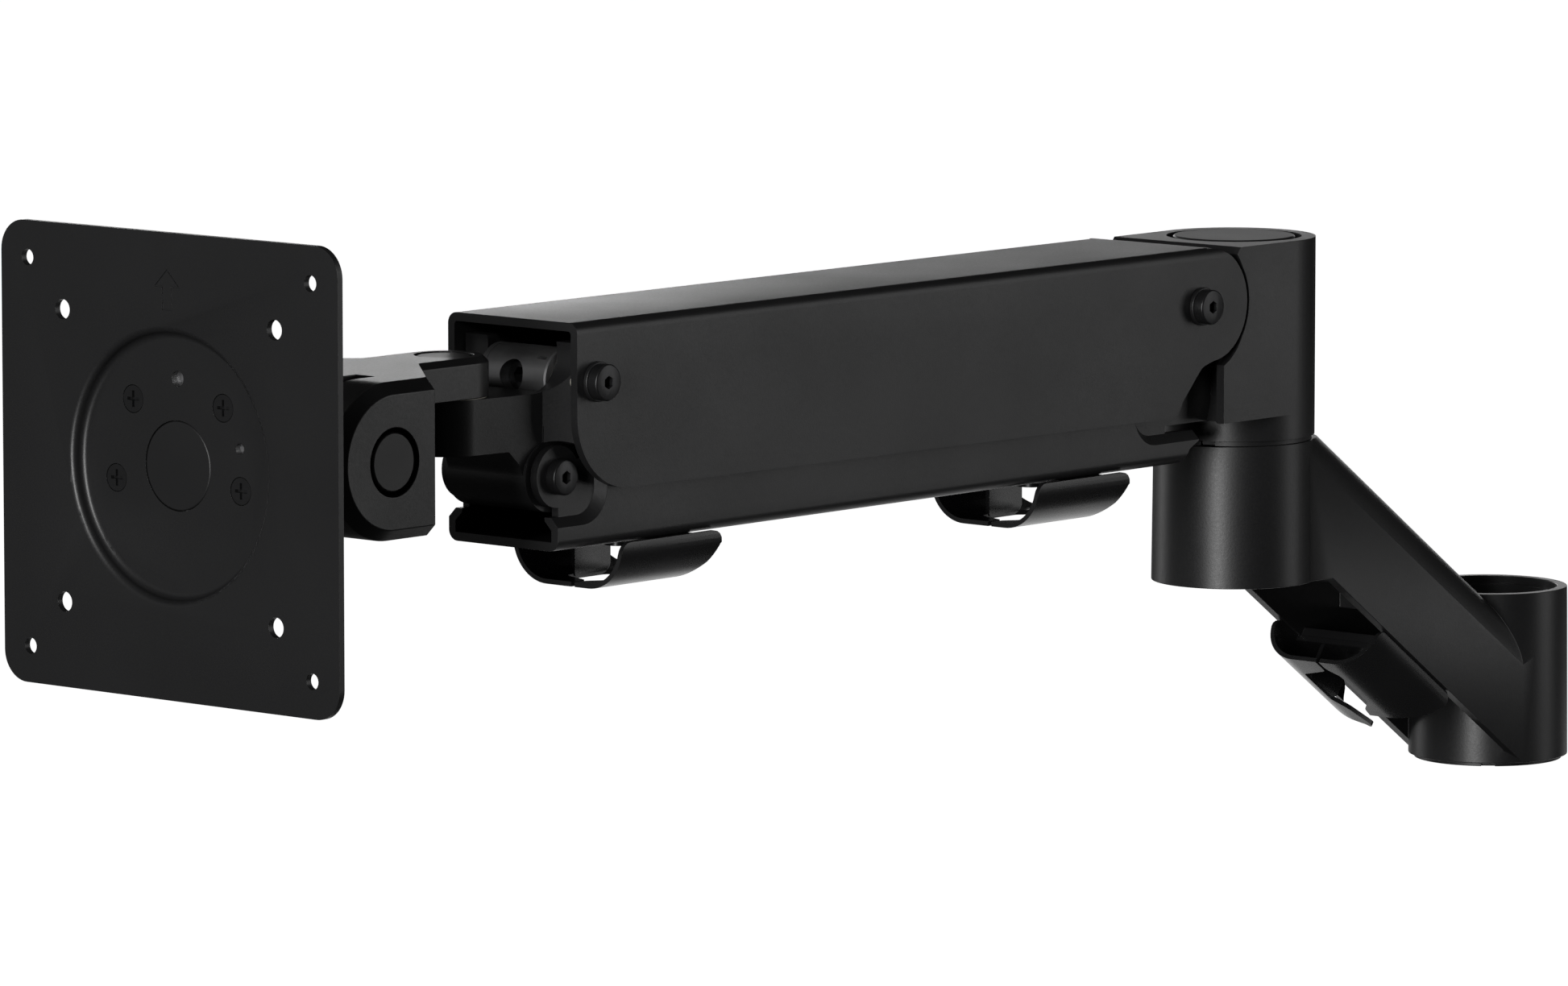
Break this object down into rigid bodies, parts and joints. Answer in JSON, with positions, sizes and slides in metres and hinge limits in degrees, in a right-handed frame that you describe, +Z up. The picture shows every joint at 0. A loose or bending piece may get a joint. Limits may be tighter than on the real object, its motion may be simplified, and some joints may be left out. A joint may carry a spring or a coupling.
{
  "type": "monitor arm",
  "caption": "Black spring-balanced monitor arm for a desk pole: short sloping link, level parallelogram arm with cable clips, panning and tilting head, square mounting plate.",
  "frame": {"origin": "on the axis of the pole bore, at the lowest face of its liner", "axes": "+Z up the pole; +X along the arm towards the monitor plate; +Y to the side of the arm, right-handed"},
  "size_m": [0.5686, 0.119, 0.1938],
  "materials": {
    "painted_casting": "fine-texture black powder coat on a casting, satin",
    "painted_sheet": "fine-texture black powder coat on sheet steel, satin",
    "painted_tube": "smooth black enamel",
    "black_plastic": "fine matt moulded plastic",
    "clip_plastic": "satin moulded plastic",
    "pale_nylon": "natural nylon",
    "black_steel": "black oxide",
    "grey_steel": "phosphated, satin grey",
    "bare_steel": "zinc plated, satin",
    "chromed_rod": "ground and chromed",
    "bare_aluminium": "turned"
  },
  "bodies": {
    "link": {"link_casting": "painted_casting", "pole_liner": "black_plastic", "swivel_bushing_upper": "black_plastic", "swivel_bushing_lower": "black_plastic", "link_cable_clip": "clip_plastic", "link_clip_screw": "black_steel"},
    "base": {"base_housing": "painted_casting", "swivel_shaft": "bare_steel", "swivel_retainer": "bare_steel", "swivel_retaining_screw": "black_steel", "base_cap": "black_plastic", "upper_rear_bushings": "pale_nylon", "lower_rear_bushings": "pale_nylon"},
    "upper_arm": {"upper_channel": "painted_sheet", "upper_rear_pin": "bare_steel", "upper_screws": "black_steel", "upper_washers": "black_plastic", "tension_barrel": "grey_steel", "adjuster_block": "bare_steel", "gas_spring_cylinder": "painted_tube"},
    "spring": {"spring_rod": "chromed_rod", "spring_piston": "bare_steel", "spring_eye": "bare_steel"},
    "adjuster": {"tension_screw": "black_steel"},
    "lower_arm": {"lower_channel": "painted_sheet", "lower_rear_pin": "bare_steel", "lower_front_pin": "bare_steel", "lower_screws": "black_steel", "front_cable_clip": "clip_plastic", "rear_cable_clip": "clip_plastic", "arm_clip_screws": "black_steel"},
    "bracket": {"end_bracket": "painted_casting", "upper_front_bushings": "pale_nylon", "lower_front_bushings": "pale_nylon", "pan_bushing": "pale_nylon"},
    "yoke": {"yoke_casting": "painted_casting", "pan_bolt": "bare_steel", "pan_nut": "bare_steel", "pan_lower_washer": "bare_steel", "pan_friction_washer": "pale_nylon", "pan_cap": "black_plastic", "tilt_bolt": "bare_steel", "tilt_nut": "bare_steel", "tilt_caps": "black_plastic", "tilt_friction_washers": "pale_nylon"},
    "tilt": {"tilt_bracket": "painted_casting", "tilt_bushings": "pale_nylon", "rotation_nut": "bare_steel", "rotation_friction_washer": "pale_nylon", "rotation_bolt": "bare_steel", "rotation_washer": "bare_steel"},
    "plate": {"rotation_disc": "bare_aluminium", "vesa_plate": "painted_sheet", "centre_cap": "black_plastic", "plate_screws": "black_steel"}
  },
  "joints": [
    {"name": "base_swivel", "type": "hinge", "parent": "link", "child": "base", "pos_m": [0.1189, 0, 0.1041], "axis": [0, 0, 1], "range_deg": [-90, 90]},
    {"name": "arm_lift", "type": "hinge", "parent": "base", "child": "upper_arm", "pos_m": [0.1616, 0, 0.1464], "axis": [0, -1, 0], "range_deg": [-35, 35]},
    {"name": "lower_link_swing", "type": "hinge", "parent": "base", "child": "lower_arm", "pos_m": [0.17, 0, 0.1217], "axis": [0, -1, 0], "range_deg": [-35, 35]},
    {"name": "bracket_level", "type": "hinge", "parent": "upper_arm", "child": "bracket", "pos_m": [0.4104, 0, 0.1464], "axis": [0, -1, 0], "range_deg": [-35, 35]},
    {"name": "spring_stroke", "type": "slide", "parent": "upper_arm", "child": "spring", "axis": [-0.9948, 0, -0.1022], "range_m": [-0.0146, 0.0146]},
    {"name": "tension_turn", "type": "hinge", "parent": "upper_arm", "child": "adjuster", "pos_m": [0.4104, 0, 0.1464], "axis": [0.9948, 0, 0.1022], "continuous": true},
    {"name": "head_pan", "type": "hinge", "parent": "bracket", "child": "yoke", "pos_m": [0.4439, 0, 0.14375], "axis": [0, 0, 1], "range_deg": [-90, 90]},
    {"name": "head_tilt", "type": "hinge", "parent": "yoke", "child": "tilt", "pos_m": [0.5004, 0, 0.1343], "axis": [0, -1, 0], "range_deg": [-20, 80]},
    {"name": "plate_rotate", "type": "hinge", "parent": "tilt", "child": "plate", "pos_m": [0.5322, 0, 0.1343], "axis": [1, 0, 0], "range_deg": [-90, 90]}
  ],
  "couplings": [
    {"joint": "lower_link_swing", "follows": "arm_lift", "ratio": 1},
    {"joint": "bracket_level", "follows": "arm_lift", "ratio": -1},
    {"joint": "spring_stroke", "follows": "arm_lift", "m_per_rad": 0.0238}
  ]
}
